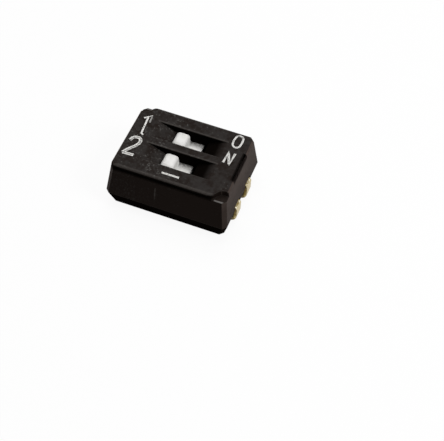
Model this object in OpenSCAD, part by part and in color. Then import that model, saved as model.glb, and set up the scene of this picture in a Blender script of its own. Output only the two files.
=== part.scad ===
// Two-pole slide switch for a circuit board: drafted body in two halves that meet at a ridge, two white
// sliders in boat-shaped slots, bridging contacts below them and four hooked terminals.
// X is the sliding direction, with the on side at +X. Y runs to the first position. Z is up.
// The origin is on the board, under the middle of the body.

/* [Body] */
// distance between the two switch positions
pitch = 1.27; // [1.20:0.01:1.50]
// length of the body at the ridge
body_l = 5.40; // [5.20:0.02:5.80]
// width of the body at the ridge
body_w = 4.12; // [3.90:0.02:4.60]
// length of the deck
deck_l = 5.00; // [4.90:0.02:5.30]
// width of the deck
deck_w = 3.56; // [3.40:0.02:3.90]
// length of the underside
foot_l = 5.02; // [4.80:0.02:5.20]
// width of the underside
foot_w = 3.62; // [3.40:0.02:3.90]
// gap between the underside and the board
standoff = 0.04; // [0.02:0.01:0.12]
// height of the ridge above the board
ridge_z = 0.80; // [0.70:0.01:0.95]
// height of the deck above the board
deck_z = 2.44; // [2.30:0.01:2.80]
// cut at the upright corners
corner_cut = 0.16; // [0.08:0.01:0.24]
// rounding along the edges of the deck
edge_r = 0.12; // [0.06:0.01:0.16]

/* [Deck] */
// thickness of the deck over the sliders
deck_t = 0.62; // [0.50:0.01:0.70]
// thickness left at the inner end of a ramp
lip_t = 0.25; // [0.12:0.01:0.34]
// width of a slot
slot_w = 0.90; // [0.80:0.01:0.94]
// length of a ramp along the slot
ramp_l = 0.82; // [0.60:0.01:0.90]
// length of a corner notch from the end of the deck
notch_l = 0.76; // [0.70:0.01:0.84]
// width of a corner notch from the side of the deck
notch_w = 0.40; // [0.28:0.01:0.44]
// depth of a corner notch below the deck
notch_d = 0.27; // [0.15:0.01:0.35]
// run of the curve at the mouth of a corner notch
notch_run = 0.66; // [0.50:0.01:0.68]
// height of the step line along the sides
step_h = 0.12; // [0.03:0.01:0.15]
// depth of the step line into the sides
step_d = 0.09; // [0.03:0.01:0.12]
// length of the slit beside the on end of the deck
slit_l = 1.50; // [1.00:0.05:2.00]
// width of the slit
slit_w = 0.09; // [0.06:0.01:0.16]
// depth of the slit
slit_d = 0.25; // [0.10:0.01:0.40]
// wall between the slit and the end of the deck
slit_wall = 0.03; // [0.02:0.01:0.12]

/* [Sliders] */
// travel from off to on
travel = 0.74; // [0.60:0.01:0.84]
// length of a knob at its top
knob_top_l = 0.56; // [0.45:0.01:0.62]
// length of a knob at its root, inside the plate
knob_root_l = 0.66; // [0.64:0.01:0.80]
// drop of the knob below the deck
knob_drop = 0.10; // [0.02:0.01:0.16]
// rounding of the knob's top edges
knob_r = 0.17; // [0.05:0.01:0.20]
// draft of the knob across the slot, on each side
knob_lean = 0.03; // [0.01:0.01:0.06]
// length of the plate that a knob stands on
plate_l = 1.78; // [1.60:0.02:2.00]
// width of the plate
plate_w = 1.00; // [0.97:0.01:1.06]
// thickness of the plate
plate_t = 0.32; // [0.20:0.01:0.40]
// free play above and beside a plate
slide_gap = 0.02; // [0.01:0.01:0.04]
// free play between a knob and the ends of its window
stop_gap = 0.02; // [0.01:0.01:0.05]
// free play between a knob and the sides of its slot
knob_gap = 0.03; // [0.02:0.01:0.06]

/* [Contacts] */
// thickness of the contact strip
strip_t = 0.06; // [0.04:0.01:0.08]
// width of the contact strip
strip_w = 0.50; // [0.40:0.01:0.60]
// length of the flat that sits in the slider
flat_l = 0.56; // [0.40:0.01:0.70]
// length of the turned-up toe
toe_l = 0.18; // [0.10:0.01:0.24]
// rise of the toe, as a share of the room between pad and slider
toe_share = 0.20; // [0.10:0.05:0.40]
// gap between the two fingers of each arm
finger_gap = 0.10; // [0.06:0.01:0.16]
// set-off of the contact from the knob, towards off
contact_shift = 0.10; // [0.08:0.01:0.12]
// play between the feet and the pads
foot_gap = 0.005; // [0.005:0.005:0.02]

/* [Terminals] */
// thickness of a terminal
term_t = 0.15; // [0.10:0.01:0.18]
// width of a terminal
term_w = 0.50; // [0.40:0.01:0.60]
// reach of a terminal beyond the ridge
term_out = 0.07; // [0.05:0.01:0.14]
// outer radius of the upper bend
bend_r = 0.20; // [0.19:0.01:0.24]
// outer radius of the hook
hook_r = 0.35; // [0.28:0.01:0.40]
// straight end of the hook along the board
hook_end = 0.16; // [0.08:0.01:0.24]
// gap between the two fixed contacts of a position
pad_gap = 0.40; // [0.30:0.01:0.50]
// room around a terminal where it passes under the cover
lead_gap = 0.04; // [0.01:0.01:0.06]

/* [Base] */
// room around a hook in its pocket
hook_room = 0.06; // [0.03:0.01:0.10]
// length of the channels in the cover
channel_l = 4.00; // [3.40:0.02:4.20]
// length of a locating post
post_l = 0.40; // [0.20:0.01:0.50]
// height of a locating post
post_h = 0.35; // [0.15:0.01:0.45]
// play between the base and the channels
post_gap = 0.02; // [0.00:0.01:0.04]

/* [View] */
// node to draw, or all of them

/* [Hidden] */
$fn = 48;
over = 0.2;
wide = 4 * body_l;
black = [0.10, 0.10, 0.10];
dark = [0.08, 0.08, 0.08];
white = [0.92, 0.92, 0.90];
gold = [0.86, 0.72, 0.38];
// the two positions, first one at the back
row_1 = pitch / 2;
row_2 = -pitch / 2;
// sliders at rest in the off position
rest_x = -travel / 2;
under_z = deck_z - deck_t;
plate_top_z = under_z - slide_gap;
plate_low_z = plate_top_z - plate_t;
knob_root_z = plate_top_z - plate_t / 2;
knob_top_z = deck_z - knob_drop;
knob_w = slot_w - 2 * knob_gap;
channel_w = plate_w + 2 * slide_gap;
window_half = (knob_root_l + travel) / 2 + stop_gap;
ramp_d = deck_t - lip_t;
// rounding at the top of the cut corners
corner_r = 1.5 * edge_r;
// terminals
end_x = body_l / 2 + term_out;
bend_x = end_x - bend_r;
hook_x = end_x - hook_r;
pad_x = pad_gap / 2;
pad_z = ridge_z + term_t;
lead_w = term_w + 2 * lead_gap;
// contacts
contact_x = rest_x - contact_shift;
foot_x = (travel + pad_gap) / 2;
flat_z = plate_low_z + strip_t / 2;
foot_z = pad_z + foot_gap + strip_t / 2;
toe_rise = toe_share * (plate_low_z - foot_z);
arm_x = flat_l / 2 - strip_t / 2;
arm_fall = atan2(flat_z - foot_z, foot_x - arm_x);
// where the arms have dropped clear of the slider, which is as far as its pocket reaches
clear_x = arm_x + strip_t / 2 * (1 + 1 / cos(arm_fall)) / tan(arm_fall) + foot_gap;
pocket_l = 2 * max((flat_l + strip_t) / 2, clear_x);
// notch curve
notch_r = (pow(notch_run, 2) + pow(notch_w, 2)) / (4 * notch_w);
notch_x = deck_l / 2 - notch_l;
side_y = deck_w / 2;
step_y = side_y + (body_w - deck_w) / 2 * notch_d / (deck_z - ridge_z) - step_d;

// upright section with sloping sides and sharp corners
module plain_taper(half_hi, half_lo, z_hi, z_lo) {
    polygon([[-half_hi, z_hi], [half_hi, z_hi], [half_lo, z_lo], [-half_lo, z_lo]]);
}

// upright section with sloping sides and rounded upper corners
module rounded_taper(half_hi, half_lo, z_hi, z_lo, r) {
    lean = atan((half_lo - half_hi) / (z_hi - z_lo));
    mid = [half_hi + r * tan(lean) - r / cos(lean), z_hi - r];
    side = mid + (r + over) * [cos(lean), sin(lean)];
    difference() {
        plain_taper(half_hi, half_lo, z_hi, z_lo);
        for (s = [0, 1])
            mirror([s, 0])
                difference() {
                    polygon([mid, [mid[0], z_hi + over], [half_hi + over, z_hi + over], side]);
                    translate(mid)
                        circle(r);
                }
    }
}

// section drawn in X and Z, run along Y
module along_y(run) {
    rotate([90, 0, 0])
        linear_extrude(height = run, center = true)
            children();
}

// half distance across the cut corners, for a plan of the given length and width
function across(l, w) = ((l + w) / 2 - corner_cut) / sqrt(2);

// upper half of the body, before anything is cut from it
module cover_block() {
    intersection() {
        along_y(wide)
            rounded_taper(deck_l / 2, body_l / 2, deck_z, ridge_z, edge_r);
        rotate([0, 0, 90])
            along_y(wide)
                rounded_taper(deck_w / 2, body_w / 2, deck_z, ridge_z, edge_r);
        rotate([0, 0, 45])
            along_y(wide)
                rounded_taper(across(deck_l, deck_w), across(body_l, body_w), deck_z, ridge_z, corner_r);
        rotate([0, 0, -45])
            along_y(wide)
                rounded_taper(across(deck_l, deck_w), across(body_l, body_w), deck_z, ridge_z, corner_r);
    }
}

// lower half of the body, narrowing towards the board
module base_block() {
    intersection() {
        along_y(wide)
            plain_taper(body_l / 2, foot_l / 2, ridge_z, standoff);
        rotate([0, 0, 90])
            along_y(wide)
                plain_taper(body_w / 2, foot_w / 2, ridge_z, standoff);
        rotate([0, 0, 45])
            along_y(wide)
                plain_taper(across(body_l, body_w), across(foot_l, foot_w), ridge_z, standoff);
        rotate([0, 0, -45])
            along_y(wide)
                plain_taper(across(body_l, body_w), across(foot_l, foot_w), ridge_z, standoff);
    }
}

// slot with a ramp at each end and a window for the knob
module slot_cut() {
    end = window_half + ramp_l;
    along_y(slot_w)
        polygon([[-end, deck_z + over], [-end, deck_z], [-window_half, deck_z - ramp_d],
                 [-window_half, under_z - over], [window_half, under_z - over],
                 [window_half, deck_z - ramp_d], [end, deck_z], [end, deck_z + over]]);
}

// plan of the notch at the front corner of the on end, with an S-shaped mouth
module notch_plan() {
    mid_x = notch_x + notch_run / 2;
    far_x = notch_x + notch_run;
    in_y = notch_w - side_y;
    mid_y = notch_w / 2 - side_y;
    translate([far_x, in_y - wide])
        square(wide);
    translate([mid_x, mid_y - wide])
        square([far_x - mid_x, wide]);
    translate([far_x, in_y - notch_r])
        circle(notch_r);
    difference() {
        translate([notch_x, mid_y - wide])
            square([mid_x - notch_x, wide]);
        translate([notch_x, notch_r - side_y])
            circle(notch_r);
    }
}

// notch and step line of the front side
module side_cut() {
    from_x = corner_cut - deck_l / 2;
    translate([0, 0, deck_z - notch_d])
        linear_extrude(height = notch_d + over)
            notch_plan();
    translate([from_x, -step_y - over, deck_z - notch_d])
        cube([notch_x - from_x, over, step_h]);
}

module cover() {
    color(black)
        difference() {
            cover_block();
            for (y = [row_1, row_2]) {
                translate([0, y, 0])
                    slot_cut();
                translate([-channel_l / 2, y - channel_w / 2, ridge_z - over])
                    cube([channel_l, channel_w, under_z - ridge_z + over]);
                translate([-wide / 2, y - lead_w / 2, ridge_z - over])
                    cube([wide, lead_w, term_t + lead_gap + over]);
            }
            for (turn = [0, 180])
                rotate([0, 0, turn])
                    side_cut();
            translate([deck_l / 2 - slit_wall - slit_w, -slit_l / 2, deck_z - slit_d])
                cube([slit_w, slit_l, slit_d + over]);
        }
}

// pocket for one terminal at the on end
module terminal_pocket(y) {
    half = term_w / 2 + hook_room;
    low_x = hook_x - hook_end - hook_room;
    translate([bend_x, y - half, -over])
        cube([wide, 2 * half, ridge_z + 2 * over]);
    translate([low_x, y - half, -over])
        cube([wide, 2 * half, term_t + hook_room + over]);
    translate([0, y, 0])
        terminal_shape();
}

module base() {
    tongue_w = channel_w - 2 * post_gap;
    tongue_l = channel_l - 2 * post_gap;
    color(dark)
        difference() {
            union() {
                base_block();
                for (y = [row_1, row_2]) {
                    translate([-tongue_l / 2, y - tongue_w / 2, standoff + over])
                        cube([tongue_l, tongue_w, pad_z - standoff - over]);
                    for (x = [-tongue_l / 2, tongue_l / 2 - post_l])
                        translate([x, y - tongue_w / 2, ridge_z])
                            cube([post_l, tongue_w, term_t + post_h]);
                }
            }
            for (y = [row_1, row_2], turn = [0, 180])
                rotate([0, 0, turn])
                    terminal_pocket(y);
        }
}

// slider whose knob stands over its own middle
module slider_shape() {
    difference() {
        union() {
            translate([-plate_l / 2, -plate_w / 2, plate_low_z])
                cube([plate_l, plate_w, plate_t]);
            intersection() {
                along_y(wide)
                    rounded_taper(knob_top_l / 2, knob_root_l / 2, knob_top_z, knob_root_z, knob_r);
                rotate([0, 0, 90])
                    along_y(wide)
                        rounded_taper(knob_w / 2 - knob_lean, knob_w / 2, knob_top_z, knob_root_z, knob_r);
            }
        }
        translate([-contact_shift - pocket_l / 2, -strip_w / 2, plate_low_z - over])
            cube([pocket_l, strip_w, strip_t + over]);
    }
}

module slider_1() {
    color(white)
        translate([rest_x, row_1, 0])
            slider_shape();
}

module slider_2() {
    color(white)
        translate([rest_x, row_2, 0])
            slider_shape();
}

// straight run of strip between two points of its middle line, with a round end at the second
module strip_run(a, b) {
    len = norm(b - a);
    turn = atan2(b[1] - a[1], b[0] - a[0]);
    translate(a)
        rotate(turn)
            translate([0, -strip_t / 2])
                square([len, strip_t]);
    translate(b)
        circle(strip_t / 2);
}

// bridging contact: a flat in the slider, two forked arms and turned-up toes
module contact_shape() {
    arm = [arm_x, flat_z];
    foot = [foot_x, foot_z];
    toe = [foot_x + toe_l, foot_z + toe_rise];
    difference() {
        along_y(strip_w) {
            translate([-arm[0], flat_z - strip_t / 2])
                square([2 * arm[0], strip_t]);
            for (s = [0, 1])
                mirror([s, 0]) {
                    translate(arm)
                        circle(strip_t / 2);
                    strip_run(arm, foot);
                    strip_run(foot, toe);
                }
        }
        for (s = [0, 1])
            mirror([s, 0, 0])
                translate([flat_l / 2, -finger_gap / 2, 0])
                    cube([wide, finger_gap, deck_z]);
    }
}

module contact_1() {
    color(gold)
        translate([contact_x, row_1, 0])
            contact_shape();
}

module contact_2() {
    color(gold)
        translate([contact_x, row_2, 0])
            contact_shape();
}

// quarter of a ring around the origin, between the +X and +Z sides
module quarter_ring(r) {
    intersection() {
        difference() {
            circle(r);
            circle(r - term_t);
        }
        square(r);
    }
}

// terminal at the on end: contact pad, upper bend, leg and hook
module terminal_shape() {
    along_y(term_w) {
        translate([pad_x, ridge_z])
            square([bend_x - pad_x, term_t]);
        translate([bend_x, pad_z - bend_r])
            quarter_ring(bend_r);
        translate([end_x - term_t, hook_r])
            square([term_t, pad_z - bend_r - hook_r]);
        translate([hook_x, hook_r])
            mirror([0, 1])
                quarter_ring(hook_r);
        translate([hook_x - hook_end, 0])
            square([hook_end, term_t]);
    }
}

module terminal_1_right() {
    color(gold)
        translate([0, row_1, 0])
            terminal_shape();
}

module terminal_2_right() {
    color(gold)
        translate([0, row_2, 0])
            terminal_shape();
}

module terminal_1_left() {
    color(gold)
        rotate([0, 0, 180])
            translate([0, -row_1, 0])
                terminal_shape();
}

module terminal_2_left() {
    color(gold)
        rotate([0, 0, 180])
            translate([0, -row_2, 0])
                terminal_shape();
}

cover();
base();
slider_1();
slider_2();
contact_1();
contact_2();
terminal_1_left();
terminal_1_right();
terminal_2_left();
terminal_2_right();
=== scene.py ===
import math
from types import SimpleNamespace

import bmesh
import bpy
from mathutils import Matrix, Vector


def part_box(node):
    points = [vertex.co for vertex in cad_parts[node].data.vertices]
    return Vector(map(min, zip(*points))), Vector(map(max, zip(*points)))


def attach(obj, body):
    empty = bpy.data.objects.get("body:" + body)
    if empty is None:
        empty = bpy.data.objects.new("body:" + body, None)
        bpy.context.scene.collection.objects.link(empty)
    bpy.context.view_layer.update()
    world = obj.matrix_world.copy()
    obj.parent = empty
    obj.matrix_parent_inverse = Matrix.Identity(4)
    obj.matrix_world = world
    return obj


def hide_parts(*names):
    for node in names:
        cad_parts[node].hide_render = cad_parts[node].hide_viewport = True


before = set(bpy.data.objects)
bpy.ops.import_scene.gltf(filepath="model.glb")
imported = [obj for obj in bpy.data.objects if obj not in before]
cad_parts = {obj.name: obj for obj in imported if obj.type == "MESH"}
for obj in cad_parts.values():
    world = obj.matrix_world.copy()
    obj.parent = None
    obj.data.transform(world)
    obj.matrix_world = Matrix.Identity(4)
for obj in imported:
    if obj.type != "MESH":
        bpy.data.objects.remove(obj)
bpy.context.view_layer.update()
mm = 0.001
scene = bpy.context.scene
pureWhite = (1, 1, 1, 1)
midway = 0.5  # middle of a noise or a ramp
bevelRays = 6  # of the softened edges
print("frame loaded:", len(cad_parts), "nodes")

# view of the photograph: where the camera stands, and how far its axis is off the object
viewpoint = {
    "azimuth": 21.01,
    "elevation": 51.32,
    "roll": 1.06,
    "distance": 45 * mm,
    "aimRight": -0.03812,
    "aimUp": 0.03202,
    "lens": 84.5,
    "sensor": 36,
    "clip": (1 * mm, 1000 * mm),
    "target": Vector((0, 0, 0.04 * mm)),
}


def makeCamera(view):
    turn = math.radians(view["azimuth"])
    lift = math.radians(view["elevation"])
    back = Vector((math.sin(turn) * math.cos(lift), -math.cos(turn) * math.cos(lift), math.sin(lift)))
    right = Vector((0, 0, 1)).cross(back).normalized()
    axis = (back + view["aimRight"] * right + view["aimUp"] * back.cross(right)).normalized()
    across = (right - right.dot(axis) * axis).normalized()
    rotation = Matrix((across, axis.cross(across), axis)).transposed()
    data = bpy.data.cameras.new("camera")
    data.lens = view["lens"]
    data.sensor_width = view["sensor"]
    data.clip_start, data.clip_end = view["clip"]
    camera = bpy.data.objects.new("camera", data)
    scene.collection.objects.link(camera)
    roll = Matrix.Rotation(math.radians(view["roll"]), 4, "Z")
    place = Matrix.Translation(view["target"] + back * view["distance"])
    camera.matrix_world = place @ rotation.to_4x4() @ roll
    scene.camera = camera


makeCamera(viewpoint)
print("camera set")


class Wire:  # a shader socket that adds, scales and compares like a number
    def __init__(self, tree, socket=None):
        self.tree = tree
        self.socket = socket

    def node(self, kind, settings, inputs, output=0):
        made = self.tree.nodes.new(kind)
        for key, value in settings.items():
            setattr(made, key, value)
        for key, value in inputs.items():
            if isinstance(value, Wire):
                self.tree.links.new(value.socket, made.inputs[key])
            else:
                made.inputs[key].default_value = value
        return Wire(self.tree, made.outputs[output])

    def calc(self, operation, first, second=0.0):
        return self.node("ShaderNodeMath", {"operation": operation}, {0: first, 1: second})

    def __add__(self, other):
        return self.calc("ADD", self, other)

    def __radd__(self, other):
        return self.calc("ADD", other, self)

    def __sub__(self, other):
        return self.calc("SUBTRACT", self, other)

    def __rsub__(self, other):
        return self.calc("SUBTRACT", other, self)

    def __mul__(self, other):
        return self.calc("MULTIPLY", self, other)

    def __rmul__(self, other):
        return self.calc("MULTIPLY", other, self)

    def __gt__(self, other):
        return self.calc("GREATER_THAN", self, other)

    def __lt__(self, other):
        return self.calc("LESS_THAN", self, other)


def startMaterial(name):
    material = bpy.data.materials.new(name)
    material.use_nodes = True
    return material, Wire(material.node_tree), material.node_tree.nodes["Principled BSDF"]


def feed(wire, shader, links):
    for key, value in links.items():
        wire.tree.links.new(value.socket, shader.inputs[key])


def objectPlace(wire):
    return wire.node("ShaderNodeTexCoord", {}, {}, "Object")


def trueNormal(wire):
    return wire.node("ShaderNodeNewGeometry", {}, {}, "Normal")


def split(wire, vector, axes):
    return [wire.node("ShaderNodeSeparateXYZ", {}, {0: vector}, axis) for axis in axes]


def inMillimetres(wire, place, axes):
    return [value * (1 / mm) for value in split(wire, place, axes)]


def noise(wire, place, size, detail, rough):
    values = {"Vector": place, "Scale": 1 / size, "Detail": detail, "Roughness": rough}
    return wire.node("ShaderNodeTexNoise", {}, values, "Fac")


def ramp(wire, value, low, high):  # 0 below low, 1 above high, smooth between
    settings = {"interpolation_type": "SMOOTHSTEP"}
    values = {"Value": value, "From Min": low, "From Max": high, "To Min": 0.0, "To Max": 1.0}
    return wire.node("ShaderNodeMapRange", settings, values, "Result")


def band(wire, value, near, start, stop, far):  # 1 from start to stop, 0 before near and past far
    return ramp(wire, value, near, start) * (1 - ramp(wire, value, stop, far))


def within(wire, value, middle, half):  # 1 no further than half from the middle
    return wire.calc("ABSOLUTE", value - middle) < half


def share(mask, base, gain):  # base where the mask is 0, base + gain where it is 1
    return base + gain * mask


def mixColour(wire, factor, first, second):  # sockets 6 and 7 and output 2 are the node's colours
    return wire.node("ShaderNodeMix", {"data_type": "RGBA"}, {0: factor, 6: first, 7: second}, 2)


# normal rounded over sharp edges, how far it is turned there, and the true normal
def softEdge(wire, radius):
    rounded = wire.node("ShaderNodeBevel", {"samples": bevelRays}, {"Radius": radius})
    flat = trueNormal(wire)
    settings = {"operation": "DOT_PRODUCT"}
    agree = wire.node("ShaderNodeVectorMath", settings, {0: rounded, 1: flat}, "Value")
    return rounded, 1 - agree, flat


def bump(wire, height, depth, normal):
    values = {"Height": height, "Distance": depth, "Strength": 1.0, "Normal": normal}
    return wire.node("ShaderNodeBump", {}, values)


def mixSurface(material, wire, factor, first, second):
    both = wire.node("ShaderNodeMixShader", {}, {0: factor, 1: first, 2: second})
    feed(wire, material.node_tree.nodes["Material Output"], {"Surface": both})


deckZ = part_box("cover")[1].z
deckLevel = deckZ / mm
rowY = sum(corner.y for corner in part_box("slider_1")) / 2 / mm  # middle of the back slot

# the two black mouldings; noises are size, detail and roughness, and places are in millimetres
blackMoulding = {
    "side": (0.0145, 0.0098, 0.0078, 1),
    # colour of the ends, which is a painted sheen
    "end": (0.0720, 0.0540, 0.0465, 1),
    # deck and ramp tops painted paler as a sheen
    "deck": (0.0310, 0.0275, 0.0258, 1),
    # colour of painted shade
    "shadeTone": (0.0036, 0.0026, 0.0021, 1),
    # colour of worn edges and of painted highlights
    "edge": (0.085, 0.076, 0.070, 1),
    # colour of the painted highlight on the notch shelves
    "rimHighlight": (0.190, 0.180, 0.172, 1),
    "dust": (0.100, 0.096, 0.090, 1),
    "grain": (0.035 * mm, 3.0, 0.6),
    "cloud": (0.55 * mm, 3.0, 0.6),
    "patch": (0.16 * mm, 3.0, 0.6),
    "speck": (0.075 * mm, 2.0, 0.6),
    "drift": (1.3 * mm, 1.0, 0.5),
    "grainDepth": 0.003 * mm,
    "edgeRadius": 0.06 * mm,
    "upFacing": (0.55, 0.95),
    "endFacing": (0.35, 0.66),
    "litFacing": (0.20, 0.38),
    "slotEnd": 1.58,
    "slotSide": 1.13,
    "slotFall": 0.25,
    "deckFall": (0.05, 0.35),
    "rampShade": (0.0, 0.18),
    "wallShade": (0.005, 0.06),
    "litShare": 0.9,
    "endReach": 2.20,
    "endCloud": (0.5, 0.9),
    "endFall": (0.2, 1.7),
    "endDim": (1, -0.5),
    "seamDepth": (0.06, 0.12, 0.26, 0.38),
    "seamInner": (1.62, 1.70),
    "seamStop": (1.88, 1.98),
    "slitReach": (2.31, 2.36, 2.52, 2.58),
    "slitHalf": 0.78,
    "slitDepth": (0.1, 0.3),
    "shadePatch": (0.5, 0.7),
    "shelfLength": (2.00, 2.06, 2.40, 2.46),
    "shelfFront": (1.735, 1.765),
    "shelfPatch": (0.5, 0.5),
    "brimReach": (1.66, 1.74),
    "brimDepth": (0.07, 0.11),
    "lipReach": (0.44, 0.455, 0.50, 0.54),
    "lipDepth": 0.05,
    "lipShare": 0.7,
    "wornTurn": (0.02, 0.20),
    "wornGrain": 0.06,
    "wornLevel": (0.3, 0.7),
    "wornPatch": (0.4, 0.9),
    "wornShare": 0.7,
    "dustLimits": (0.67, 0.85),
    "dustDrift": 0.3,
    "dustPatch": 0.3,
    "dustLeft": 0.10,
    "leftReach": (-2.0, 1.5),
    "dustLevel": (0.2, 0.8),
    "scratchX": (-0.49, 0.03),
    "scratchZ": (1.55, 0.33),
    "scratchPatch": (0.3, 0.6),
    "scratchShare": 0.7,
    "blotchMix": (0.55, 0.45),
    "blotchLimits": (0.34, 0.64),
    "blotchShare": (0.10, 1.0),
    "roughness": 0.40,
    "grainRough": 0.24,
    "wornSmooth": 0.10,
}
coverTouch = {"shadeShare": 0.0, "dustShare": 0.9, "specular": 0.018}
# the base is painted most of the way to the shade colour, as shade under the body
baseTouch = {"shadeShare": 0.75, "dustShare": 0.2, "specular": 0.0}


def surveyBlack(wire, look):  # noises, places and facings that the masks below read
    spot = SimpleNamespace()
    place = objectPlace(wire)
    for name in ("grain", "cloud", "patch", "speck", "drift"):
        setattr(spot, name, noise(wire, place, *look[name]))
    spot.rounded, spot.turned, flat = softEdge(wire, look["edgeRadius"])
    spot.x, spot.y, spot.z = inMillimetres(wire, place, "XYZ")
    spot.farX, spot.farY = (wire.calc("ABSOLUTE", value) for value in (spot.x, spot.y))
    spot.row = wire.calc("SIGN", spot.y)  # 1 at the back row, -1 at the front one
    spot.turn = 0 - spot.x * spot.row  # both notches lie at the same place along this
    spot.depth = deckLevel - spot.z
    spot.faceX, faceZ = split(wire, flat, "XZ")
    spot.up = ramp(wire, faceZ, *look["upFacing"])
    spot.slot = (spot.farX < look["slotEnd"]) * (spot.farY < look["slotSide"])
    fall = ramp(wire, spot.depth - look["slotFall"] * spot.slot, *look["deckFall"])
    spot.level = spot.up * (1 - fall)  # deck and the ramps into the slots
    return spot


def slotShade(wire, spot, look):  # painted shade in the slots, less on the ramps that face the on end, which are painted as lit
    onRamp = spot.up * ramp(wire, spot.depth, *look["rampShade"])
    onWall = (1 - spot.up) * ramp(wire, spot.depth, *look["wallShade"])
    litRamp = ramp(wire, spot.faceX, *look["litFacing"])
    return spot.slot * (onRamp + onWall) * (1 - look["litShare"] * litRamp)


def seamShade(wire, spot, look):  # painted shade under the step along the long sides, which stops at the notches
    seam = band(wire, spot.depth, *look["seamDepth"]) * ramp(wire, spot.farY, *look["seamInner"])
    return seam * (1 - ramp(wire, spot.turn, *look["seamStop"]))


def slitShade(wire, spot, look):  # painted shade in the slit along the on end
    slit = band(wire, spot.x, *look["slitReach"]) * (spot.farY < look["slitHalf"])
    return slit * (1 - ramp(wire, spot.depth, *look["slitDepth"]))


def notchHighlight(wire, spot, look):  # painted highlight on the shelf in front of a notch
    shelf = band(wire, spot.turn, *look["shelfLength"]) * ramp(wire, spot.farY, *look["shelfFront"])
    return spot.up * shelf * share(spot.patch, *look["shelfPatch"])


def endTone(wire, spot, look):  # ends painted lighter as a sheen, and darker towards the board as painted shade
    facing = ramp(wire, wire.calc("ABSOLUTE", spot.faceX), *look["endFacing"])
    dim = share(ramp(wire, spot.depth, *look["endFall"]), *look["endDim"])
    return facing * (spot.farX > look["endReach"]) * share(spot.cloud, *look["endCloud"]) * dim


def wornAndHighlitEdges(wire, spot, look):  # sharp edges lighter from wear and as painted highlight, and painted highlights along the deck's long brims and the back lips of the slots
    edges = ramp(wire, spot.turned + look["wornGrain"] * (spot.grain - midway), *look["wornTurn"])
    edges = edges * share(spot.level, *look["wornLevel"])
    brimHighlight = ramp(wire, spot.farY, *look["brimReach"]) * (1 - ramp(wire, spot.depth, *look["brimDepth"]))
    lipHighlight = band(wire, spot.y - rowY * spot.row, *look["lipReach"])
    lipHighlight = lipHighlight * (spot.farX < look["slotEnd"]) * (spot.depth < look["lipDepth"])
    worn = wire.calc("MAXIMUM", edges, brimHighlight * (1 - spot.slot) + look["lipShare"] * lipHighlight)
    return worn * share(spot.patch, *look["wornPatch"])


def settledDust(wire, spot, look):  # specks in drifts, more of them at the off end
    left = ramp(wire, 0 - spot.x, *look["leftReach"])
    heap = spot.speck + look["dustDrift"] * (spot.drift - midway)
    heap = heap + look["dustPatch"] * (spot.patch - midway)
    dust = ramp(wire, heap + look["dustLeft"] * left, *look["dustLimits"])
    return dust * share(spot.level, *look["dustLevel"])


def frontScratch(wire, spot, look):  # one upright scratch on the front
    scratch = within(wire, spot.x, *look["scratchX"]) * within(wire, spot.z, *look["scratchZ"])
    return scratch * (spot.y < 0) * ramp(wire, spot.patch, *look["scratchPatch"])


def makeBlack(name, look, touch):
    material, wire, shader = startMaterial(name)
    spot = surveyBlack(wire, look)
    cloudShare, patchShare = look["blotchMix"]
    sheenBlotch = ramp(wire, cloudShare * spot.cloud + patchShare * spot.patch, *look["blotchLimits"])
    worn = wornAndHighlitEdges(wire, spot, look)
    dust = settledDust(wire, spot, look) * touch["dustShare"]
    # the deck and ramp tops painted paler as a sheen, blotchy at random
    sheenBlotch = spot.level * share(sheenBlotch, *look["blotchShare"])
    colour = mixColour(wire, sheenBlotch, look["side"], look["deck"])
    # painted sheen on the ends, with painted shade low on them
    colour = mixColour(wire, endTone(wire, spot, look), colour, look["end"])
    # worn edges and painted highlights
    colour = mixColour(wire, worn * look["wornShare"], colour, look["edge"])
    colour = mixColour(wire, dust, colour, look["dust"])
    colour = mixColour(wire, notchHighlight(wire, spot, look), colour, look["rimHighlight"])
    colour = mixColour(wire, frontScratch(wire, spot, look) * look["scratchShare"], colour, look["edge"])
    # painted shade over the base
    colour = mixColour(wire, touch["shadeShare"], colour, look["shadeTone"])
    feed(wire, shader, {
        "Base Color": colour,
        "Roughness": look["roughness"] + look["grainRough"] * spot.grain - look["wornSmooth"] * worn,
        "Normal": bump(wire, spot.grain, look["grainDepth"], spot.rounded),
    })
    shader.inputs["Specular IOR Level"].default_value = touch["specular"]
    seamAndSlitShade = seamShade(wire, spot, look) + slitShade(wire, spot, look)
    seamAndSlitShade = seamAndSlitShade * share(spot.patch, *look["shadePatch"])
    # painted shade: a dark diffuse surface laid over the slots, the step line and the slit
    paintedShade = wire.calc("MAXIMUM", slotShade(wire, spot, look), seamAndSlitShade)
    shadeSheet = wire.node("ShaderNodeBsdfDiffuse", {}, {"Color": look["shadeTone"]})
    mixSurface(material, wire, paintedShade, Wire(wire.tree, shader.outputs[0]), shadeSheet)
    return material


# the white sliders, with the back wall's shadow painted on the back of their plates
whiteMoulding = {
    "white": (0.84, 0.83, 0.81, 1),
    "cream": (0.76, 0.75, 0.72, 1),
    "backWallShadow": (0.20, 0.195, 0.185, 1),
    "grain": (0.05 * mm, 3.0, 0.6),
    "cloud": (0.35 * mm, 2.0, 0.5),
    "speck": (0.09 * mm, 2.0, 0.7),
    "grainDepth": 0.0012 * mm,
    "edgeRadius": 0.17 * mm,
    "creamLimits": (0.35, 0.75),
    "speckLimits": (0.38, 0.62),
    "shadowReach": (0.06, 0.50),
    "plateDepth": (0.45, 0.55),
    "shadowShare": 0.6,
    "shadowCloud": 0.2,
    "shadowSpeck": 0.5,
    "roughness": 0.38,
    "grainRough": 0.2,
    "edgeRough": 0.1,
    "edgeTurn": (0.02, 0.2),
    "specular": 0.4,
}


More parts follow.
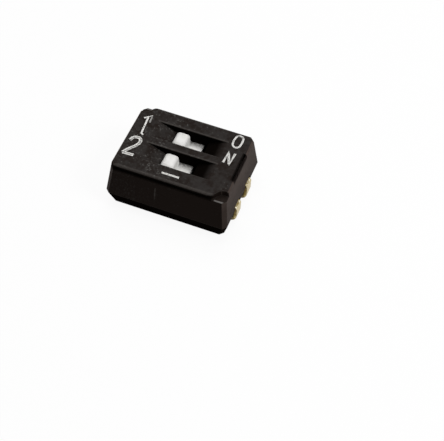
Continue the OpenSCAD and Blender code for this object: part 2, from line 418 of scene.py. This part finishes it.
def makeWhite(look):
    material, wire, shader = startMaterial("whiteMoulding")
    place = objectPlace(wire)
    grain, cloud, speck = (noise(wire, place, *look[name]) for name in ("grain", "cloud", "speck"))
    rounded, turned, _ = softEdge(wire, look["edgeRadius"])
    y, z = inMillimetres(wire, place, "YZ")
    onPlate = ramp(wire, deckLevel - z, *look["plateDepth"])
    # painted shadow of the slot's back wall, speckled
    backWallShadow = ramp(wire, y - rowY * wire.calc("SIGN", y), *look["shadowReach"]) * onPlate
    specks = ramp(wire, speck, *look["speckLimits"])
    backWallShadow = backWallShadow * (look["shadowShare"] + look["shadowCloud"] * cloud + look["shadowSpeck"] * specks)
    colour = mixColour(wire, ramp(wire, cloud, *look["creamLimits"]), look["white"], look["cream"])
    edges = ramp(wire, turned, *look["edgeTurn"])
    feed(wire, shader, {
        "Base Color": mixColour(wire, backWallShadow, colour, look["backWallShadow"]),
        "Roughness": look["roughness"] + look["grainRough"] * grain + look["edgeRough"] * edges,
        "Normal": bump(wire, grain, look["grainDepth"], rounded),
    })
    shader.inputs["Specular IOR Level"].default_value = look["specular"]
    return material


# gold on the terminals and contacts, with painted glints and highlights, painted shade beside the
# plastic and on the sheared sides, and grey at the foot
goldPlate = {
    "gold": (0.56, 0.47, 0.26, 1),
    # colour of the painted glints and highlights
    "glint": (0.97, 0.94, 0.84, 1),
    "dull": (0.26, 0.20, 0.07, 1),
    "tarnishAndShade": (0.15, 0.10, 0.012, 1),
    "sideShadeTone": (0.15, 0.10, 0.022, 1),
    "gap": (0.05, 0.036, 0.012, 1),
    "foot": (0.42, 0.38, 0.37, 1),
    "rolled": (0.05 * mm, 3.0, 0.6),
    "cloud": (0.13 * mm, 3.0, 0.6),
    "speck": (0.09 * mm, 2.0, 0.7),
    "rollStretch": (0.15, 1.0, 0.15),
    "rollDepth": 0.0015 * mm,
    "edgeRadius": 0.04 * mm,
    "speckLimits": (0.42, 0.58),
    "upFacing": (0.35, 0.75),
    "upShare": 0.8,
    "sideFacing": (0.6, 0.9),
    "sideShadeReach": (0.20, 0.48),
    "sideShadeCloud": (0.6, 0.6),
    "edgeTurn": (0.02, 0.2),
    "edgeShare": 0.5,
    "wallReach": (2.62, 2.77),
    "wallShadeShare": 0.30,
    "tarnishLimits": (0.57, 0.72),
    "tarnishShare": 0.85,
    "gapReach": (2.60, 2.68),
    "gapShare": 0.7,
    "footReach": (0.06, 0.26),
    "footShare": 0.7,
    "roughness": 0.22,
    "rollRough": 0.2,
    "cloudRough": 0.1,
}


def makeGold(look):
    material, wire, shader = startMaterial("goldPlate")
    place = objectPlace(wire)
    along = wire.node("ShaderNodeMapping", {}, {"Vector": place, "Scale": look["rollStretch"]})
    rolled = noise(wire, along, *look["rolled"])
    cloud = noise(wire, place, *look["cloud"])
    speck = ramp(wire, noise(wire, place, *look["speck"]), *look["speckLimits"])
    rounded, turned, flat = softEdge(wire, look["edgeRadius"])
    x, z = inMillimetres(wire, place, "XZ")
    faceY, faceZ = split(wire, flat, "YZ")
    reach = wire.calc("ABSOLUTE", x)
    up = ramp(wire, faceZ, *look["upFacing"])
    side = ramp(wire, wire.calc("ABSOLUTE", faceY), *look["sideFacing"])  # edges left by the shears
    # the sheared sides painted darker as shade
    sideShade = side * ramp(wire, z, *look["sideShadeReach"]) * share(cloud, *look["sideShadeCloud"])
    # painted shadow on the sheared sides next to the wall
    gap = side * (1 - ramp(wire, reach, *look["gapReach"]))
    foot = 1 - ramp(wire, z, *look["footReach"])
    wall = 1 - ramp(wire, reach, *look["wallReach"])
    # tarnish at random, heavier beside the wall as painted shade
    tarnishAndShade = ramp(wire, cloud + look["wallShadeShare"] * wall, *look["tarnishLimits"])
    edges = ramp(wire, turned, *look["edgeTurn"])
    # painted glints among dark specks on the upward faces
    glintSpecks = mixColour(wire, speck, look["dull"], look["glint"])
    colour = mixColour(wire, foot * look["footShare"], look["gold"], look["foot"])
    colour = mixColour(wire, up * look["upShare"], colour, glintSpecks)
    colour = mixColour(wire, sideShade, colour, look["sideShadeTone"])
    # painted highlight along the edges
    colour = mixColour(wire, edges * look["edgeShare"], colour, look["glint"])
    colour = mixColour(wire, tarnishAndShade * look["tarnishShare"], colour, look["tarnishAndShade"])
    colour = mixColour(wire, gap * look["gapShare"], colour, look["gap"])
    feed(wire, shader, {
        "Base Color": colour,
        "Roughness": look["roughness"] + look["rollRough"] * rolled + look["cloudRough"] * cloud,
        "Normal": bump(wire, rolled, look["rollDepth"], rounded),
    })
    shader.inputs["Metallic"].default_value = 1.0
    return material


coverPlastic = makeBlack("coverPlastic", blackMoulding, coverTouch)
basePlastic = makeBlack("basePlastic", blackMoulding, baseTouch)
sliderPlastic = makeWhite(whiteMoulding)
gold = makeGold(goldPlate)
positions = ("1", "2")

finishes = {"cover": coverPlastic, "base": basePlastic}
for position in positions:
    finishes["slider_" + position] = sliderPlastic
    finishes["contact_" + position] = gold
    for side in ("left", "right"):
        finishes["terminal_" + position + "_" + side] = gold
for nodeName, finish in finishes.items():
    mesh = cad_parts[nodeName].data
    mesh.materials.clear()
    mesh.materials.append(finish)
print("finishes on", len(finishes), "nodes")

roundedSlider = {
    "cornerRadius": 0.11 * mm,
    "cornerProfile": 0.5,
    "segments": 5,
    "knobFoot": 1.81 * mm,
    "mergeGap": 0.008 * mm,
    "flatAngle": math.radians(0.5),
    "cornerAngle": math.radians(4),
    "sharpAngle": math.radians(40),
}


def isUprightCorner(edge, look):  # between a side and an end of the knob, above the plate
    if not edge.is_manifold or max(point.co.z for point in edge.verts) < look["knobFoot"]:
        return False
    first, second = (face.normal for face in edge.link_faces)
    endThenSide = abs(first.x) > abs(first.y) and abs(second.y) > abs(second.x)
    sideThenEnd = abs(first.y) > abs(first.x) and abs(second.x) > abs(second.y)
    return (endThenSide or sideThenEnd) and edge.calc_face_angle() > look["cornerAngle"]


# the slider as its solid has it, with the knob's four upright corners rounded
def makeSlider(position, look):
    shape = bmesh.new()
    shape.from_mesh(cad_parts["slider_" + position].data)
    bmesh.ops.remove_doubles(shape, verts=shape.verts, dist=look["mergeGap"])
    bmesh.ops.dissolve_limit(shape, angle_limit=look["flatAngle"], verts=shape.verts, edges=shape.edges)
    corners = [edge for edge in shape.edges if isUprightCorner(edge, look)]
    bmesh.ops.bevel(shape, geom=corners, offset=look["cornerRadius"], offset_type="OFFSET",
                    segments=look["segments"], profile=look["cornerProfile"], affect="EDGES",
                    clamp_overlap=False, material=-1)
    mesh = bpy.data.meshes.new("roundSlider" + position)
    shape.to_mesh(mesh)
    shape.free()
    mesh.materials.clear()
    mesh.materials.append(sliderPlastic)
    mesh.shade_smooth()
    mesh.set_sharp_from_angle(angle=look["sharpAngle"])
    piece = bpy.data.objects.new(mesh.name, mesh)
    scene.collection.objects.link(piece)
    piece.modifiers.new("weightedNormal", "WEIGHTED_NORMAL").keep_sharp = True
    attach(piece, "slide_" + position)
    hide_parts("slider_" + position)


for position in positions:
    makeSlider(position, roundedSlider)
print("sliders rounded")

# white print, worn off in patches: the 2 along the middle and the right flank of its strokes, the 1 at
# its right edge on the back half, and the other characters a little along the middle
legendInk = {
    "worn": (0.055, 0.052, 0.049, 1),
    "wear": (0.09 * mm, 3.0, 0.65),
    "grain": (0.03 * mm, 2.0, 0.5),
    "height": 0.012 * mm,
    "crownMiddle": 0.6,
    "flankFacing": (-0.12, 0.12),
    "rightReach": (-1.96, -1.88),
    "backReach": (0.6, 0.8),
    "wearGrain": 0.25,
    "wornLimits": (0.50, 0.68),
    "wornShare": 0.8,
    "roughness": 0.55,
    "grainRough": 0.2,
}
oneTouch = {
    "ink": (0.80, 0.79, 0.76, 1),
    "crownLimits": (0.80, 0.98),
    "crown": 0.05,
    "flank": 0.0,
    "right": 0.36,
}
twoTouch = {
    "ink": (0.80, 0.79, 0.76, 1),
    "crownLimits": (0.70, 0.95),
    "crown": 0.36,
    "flank": 0.5,
    "right": 0.0,
}
thinTouch = {
    "ink": (0.72, 0.71, 0.68, 1),
    "crownLimits": (0.80, 0.98),
    "crown": 0.10,
    "flank": 0.0,
    "right": 0.0,
}


def makeInk(name, look, touch):
    material, wire, shader = startMaterial(name)
    place = objectPlace(wire)
    wear, grain = (noise(wire, place, *look[key]) for key in ("wear", "grain"))
    x, y, z = inMillimetres(wire, place, "XYZ")
    faceX = split(wire, trueNormal(wire), "X")[0]
    height = (z - deckLevel) * (mm / look["height"])
    crown = ramp(wire, height, *touch["crownLimits"]) - look["crownMiddle"]
    flank = ramp(wire, faceX, *look["flankFacing"]) - midway
    right = ramp(wire, x, *look["rightReach"]) * ramp(wire, y, *look["backReach"])
    lost = wear + look["wearGrain"] * (grain - midway) + touch["crown"] * crown
    lost = lost + touch["flank"] * flank + touch["right"] * right
    lost = ramp(wire, lost, *look["wornLimits"]) * look["wornShare"]
    feed(wire, shader, {
        "Base Color": mixColour(wire, lost, touch["ink"], look["worn"]),
        "Roughness": look["roughness"] + look["grainRough"] * grain,
    })
    return material


oneInk = makeInk("oneInk", legendInk, oneTouch)
twoInk = makeInk("twoInk", legendInk, twoTouch)
thinInk = makeInk("thinInk", legendInk, thinTouch)

# centre lines of the characters on the deck, in millimetres; a stroke of two points is always straight
digitOne = {
    "ink": oneInk,
    "width": 0.088 * mm,
    "smooth": False,
    "closed": False,
    "strokes": [
        ((-2.205, 1.02), (-1.915, 1.27), (-1.88, 0.86)),
        ((-2.05, 1.10), (-1.975, 0.19), (-1.87, 0.13)),
    ],
}
digitTwo = {
    "ink": twoInk,
    "width": 0.148 * mm,
    "smooth": True,
    "closed": False,
    "strokes": [
        ((-2.26, -0.335), (-2.185, -0.165), (-2.02, -0.085), (-1.87, -0.145),
         (-1.83, -0.315), (-1.935, -0.56), (-2.135, -0.81), (-2.28, -1.06)),
        ((-2.28, -1.06), (-1.80, -1.04)),
    ],
}
letterO = {
    "ink": thinInk,
    "width": 0.09 * mm,
    "smooth": True,
    "closed": True,
    "strokes": [
        ((1.92, 1.62), (2.06, 1.55), (2.10, 1.36), (2.09, 1.16), (2.04, 1.01),
         (1.92, 0.95), (1.79, 1.03), (1.745, 1.20), (1.755, 1.40), (1.80, 1.55)),
    ],
}
letterN = {
    "ink": thinInk,
    "width": 0.11 * mm,
    "smooth": False,
    "closed": False,
    "strokes": [
        ((1.735, 0.00), (1.765, 0.64), (2.015, -0.04), (2.045, 0.62)),
        ((1.785, 0.55), (1.995, 0.00)),
    ],
}
bar = {
    "ink": thinInk,
    "width": 0.10 * mm,
    "smooth": False,
    "closed": False,
    "strokes": [((-0.38, -1.45), (0.38, -1.45))],
}
strokeSegments = 3  # of a quarter of the round section


def addStroke(data, character, points):
    spline = data.splines.new("BEZIER")
    spline.bezier_points.add(len(points) - 1)
    spline.use_cyclic_u = character["closed"]
    handle = "AUTO" if character["smooth"] and len(points) > 2 else "VECTOR"
    for point, (x, y) in zip(spline.bezier_points, points):
        point.co = (x * mm, y * mm, 0)
        point.handle_left_type = handle
        point.handle_right_type = handle


def makeCharacter(name, character):
    width = character["width"]
    data = bpy.data.curves.new(name, "CURVE")
    data.dimensions = "3D"
    data.bevel_depth = width / 2
    data.bevel_resolution = strokeSegments
    data.use_fill_caps = True
    for points in character["strokes"]:
        addStroke(data, character, points)
    curve = bpy.data.objects.new(name, data)
    scene.collection.objects.link(curve)
    bpy.context.view_layer.update()
    mesh = bpy.data.meshes.new_from_object(curve.evaluated_get(bpy.context.evaluated_depsgraph_get()))
    bpy.data.objects.remove(curve)
    flatten = Matrix.Diagonal((1, 1, 2 * legendInk["height"] / width, 1))
    mesh.transform(Matrix.Translation((0, 0, deckZ)) @ flatten)
    mesh.materials.clear()
    mesh.materials.append(character["ink"])
    mesh.shade_smooth()
    piece = bpy.data.objects.new(name, mesh)
    scene.collection.objects.link(piece)
    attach(piece, "housing")


makeCharacter("digitOne", digitOne)
makeCharacter("digitTwo", digitTwo)
makeCharacter("letterO", letterO)
makeCharacter("letterN", letterN)
makeCharacter("bar", bar)
print("legend printed")

studio = {
    "floorHalf": 400 * mm,
    "floorTone": (0.40, 0.40, 0.40, 1),
    "floorRoughness": 0.9,
    "floorSpecular": 0.0,
    "whiteShare": 0.92,
    "ambient": (0.16, 0.16, 0.16, 1),
    "keyFrom": Vector((62, -8, 70)) * mm,
    "keySize": 35 * mm,
    "keyPower": 0.036,
    "topFrom": Vector((-10, 30, 90)) * mm,
    "topSize": 70 * mm,
    "topPower": 0.050,
}


def whiteForView(wire):  # 1 where the camera, a reflection or a clear piece looks at the surface
    seen = wire.node("ShaderNodeLightPath", {}, {}, "Is Camera Ray")
    rays = seen.socket.node.outputs
    for ray in ("Is Glossy Ray", "Is Transmission Ray"):
        seen = wire.calc("MAXIMUM", seen, Wire(wire.tree, rays[ray]))
    return seen


def makeFloor(look):
    shape = bmesh.new()
    bmesh.ops.create_grid(shape, x_segments=1, y_segments=1, size=look["floorHalf"])
    mesh = bpy.data.meshes.new("floor")
    shape.to_mesh(mesh)
    shape.free()
    floor = bpy.data.objects.new("floor", mesh)
    scene.collection.objects.link(floor)
    material, wire, shader = startMaterial("floorPaper")
    shader.inputs["Roughness"].default_value = look["floorRoughness"]
    shader.inputs["Specular IOR Level"].default_value = look["floorSpecular"]
    seen = whiteForView(wire)
    feed(wire, shader, {"Base Color": mixColour(wire, seen, look["floorTone"], pureWhite)})
    glow = wire.node("ShaderNodeEmission", {}, {"Color": pureWhite, "Strength": 1.0})
    mixSurface(material, wire, seen * look["whiteShare"], Wire(wire.tree, shader.outputs[0]), glow)
    mesh.materials.append(material)


def makeLamp(name, place, size, power):
    data = bpy.data.lights.new(name, "AREA")
    data.size = size
    data.energy = power
    lamp = bpy.data.objects.new(name, data)
    lamp.location = place
    lamp.rotation_mode = "QUATERNION"
    lamp.rotation_quaternion = (-place).to_track_quat("-Z", "Y")
    scene.collection.objects.link(lamp)


def makeWorld(look):
    world = bpy.data.worlds.new("studio")
    world.use_nodes = True
    scene.world = world
    wire = Wire(world.node_tree)
    sky = mixColour(wire, whiteForView(wire), look["ambient"], pureWhite)
    feed(wire, world.node_tree.nodes["Background"], {"Color": sky})


makeFloor(studio)
makeLamp("key", studio["keyFrom"], studio["keySize"], studio["keyPower"])
makeLamp("top", studio["topFrom"], studio["topSize"], studio["topPower"])
makeWorld(studio)
scene.view_settings.view_transform = "Standard"
print("studio ready")
